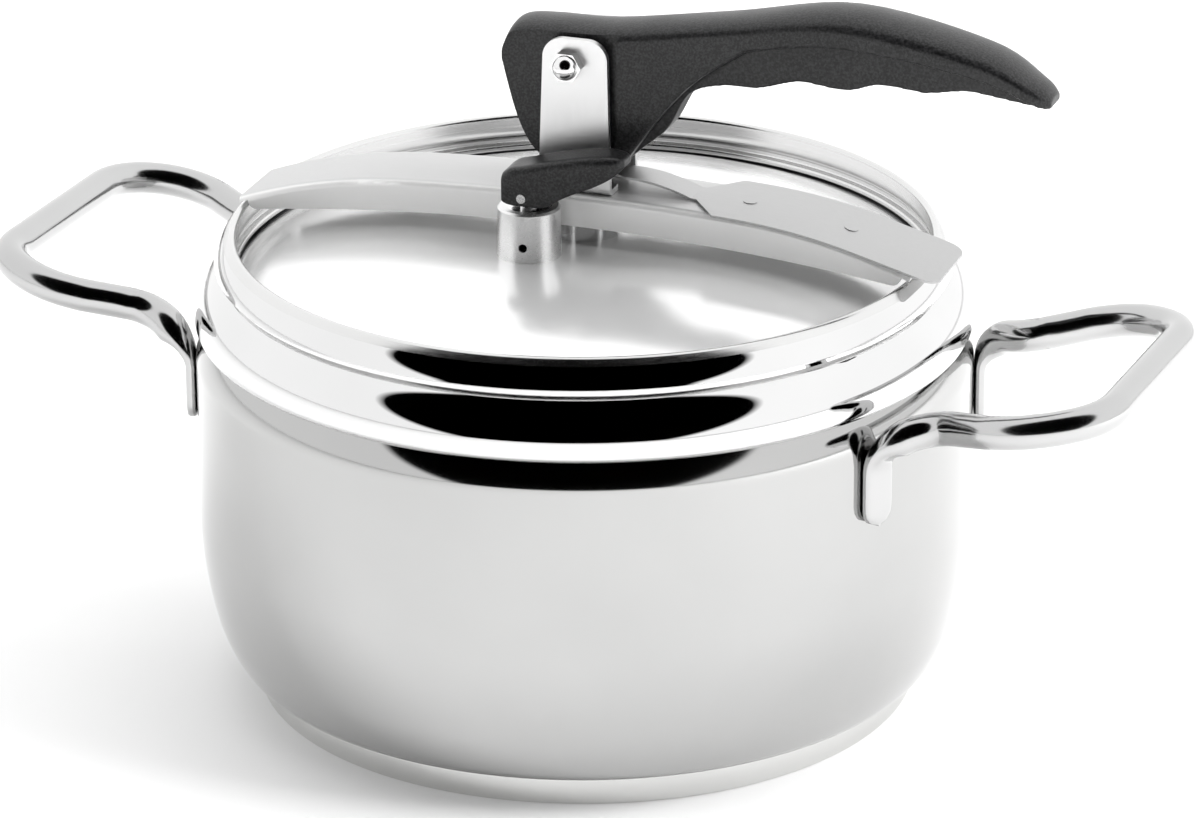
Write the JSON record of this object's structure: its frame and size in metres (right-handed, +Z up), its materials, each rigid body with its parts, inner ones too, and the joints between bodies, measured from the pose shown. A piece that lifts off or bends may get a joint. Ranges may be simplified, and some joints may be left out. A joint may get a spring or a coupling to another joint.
{
  "type": "stovetop pressure cooker",
  "caption": "Stainless stovetop pressure cooker: domed inner lid drawn up under the rim by a lever on a bridge, tilting steam valve, looped side handles.",
  "frame": {"origin": "centre of the base disc's lower face, on the pot's axis", "axes": "+Z up along the pot's axis; +X along the bridge towards the end of the lever's grip, through the middle of the right side handle; +Y towards the back, away from the steam valve"},
  "size_m": [0.3514, 0.224, 0.2133],
  "materials": {
    "polished_steel": "stainless sheet, mirror polished above the crease and satin below it",
    "satin_steel": "fine satin stainless steel",
    "turned_aluminium": "turned edge of the base's core",
    "handle_chrome": "polished bent tube",
    "machined_steel": "turned and polished steel",
    "spring_steel": "drawn wire",
    "bush_brass": "turned brass",
    "black_bakelite": "moulded black phenolic with a slight grain",
    "seal_rubber": "dark heat-proof rubber"
  },
  "bodies": {
    "pot": {"pot_body": "polished_steel", "base_cap": "satin_steel", "base_core": "turned_aluminium", "side_handle_left": "handle_chrome", "side_handle_right": "handle_chrome"},
    "bridge": {"bridge": "satin_steel", "leaf_plate": "satin_steel", "leaf_rivet_1": "satin_steel", "leaf_rivet_2": "satin_steel", "post_front": "machined_steel", "post_back": "machined_steel", "post_rivet_front_1": "machined_steel", "post_rivet_front_2": "machined_steel", "post_rivet_back_1": "machined_steel", "post_rivet_back_2": "machined_steel", "pivot_bolt": "machined_steel", "pivot_nut": "machined_steel", "pivot_washer_front": "machined_steel", "pivot_washer_back": "machined_steel"},
    "lever": {"lever_handle": "black_bakelite", "cam_plate_front": "machined_steel", "cam_plate_back": "machined_steel", "cam_rivet_1": "machined_steel", "cam_rivet_2": "machined_steel", "pivot_bush": "bush_brass"},
    "lid": {"lid_disc": "satin_steel", "lid_gasket": "seal_rubber", "draw_bar": "machined_steel", "cross_pin": "machined_steel", "lid_boss": "machined_steel", "centre_washer": "machined_steel", "centre_nut": "machined_steel", "valve_body": "machined_steel", "valve_washer": "machined_steel", "valve_nut": "machined_steel", "valve_guide": "machined_steel", "valve_spring": "spring_steel", "safety_body": "machined_steel", "safety_washer": "machined_steel", "safety_nut": "machined_steel", "safety_cap": "machined_steel", "safety_spring": "spring_steel"},
    "valve_stem": {"valve_stem": "machined_steel", "valve_pin": "machined_steel"},
    "valve_lever": {"valve_lever": "black_bakelite"},
    "safety_plunger": {"safety_plunger": "machined_steel"}
  },
  "joints": [
    {"name": "lid_lift", "type": "slide", "parent": "pot", "child": "bridge", "axis": [0, 0, 1], "range_m": [0, 0.15], "deforming": ["lid_gasket"]},
    {"name": "lever_swing", "type": "hinge", "parent": "bridge", "child": "lever", "pos_m": [0, 0, 0.19], "axis": [0, -1, 0], "range_deg": [0, 90]},
    {"name": "lid_draw", "type": "slide", "parent": "bridge", "child": "lid", "axis": [0, 0, -1], "range_m": [0, 0.004]},
    {"name": "valve_stem_lift", "type": "slide", "parent": "lid", "child": "valve_stem", "axis": [0, 0, 1], "range_m": [0, 0.003], "deforming": ["valve_spring"]},
    {"name": "valve_tilt", "type": "hinge", "parent": "valve_stem", "child": "valve_lever", "pos_m": [-0.0081, -0.0233, 0.155], "axis": [0, -1, 0], "range_deg": [0, 90]},
    {"name": "safety_lift", "type": "slide", "parent": "lid", "child": "safety_plunger", "axis": [0, 0, 1], "range_m": [0, 0.0015], "stiffness_N_per_m": 60, "springref_m": -0.004, "deforming": ["safety_spring"]}
  ],
  "couplings": [
    {"joint": "lid_draw", "follows": "lever_swing", "m_per_rad": 0.0025465},
    {"joint": "valve_stem_lift", "follows": "valve_tilt", "m_per_rad": 0.0019099}
  ]
}
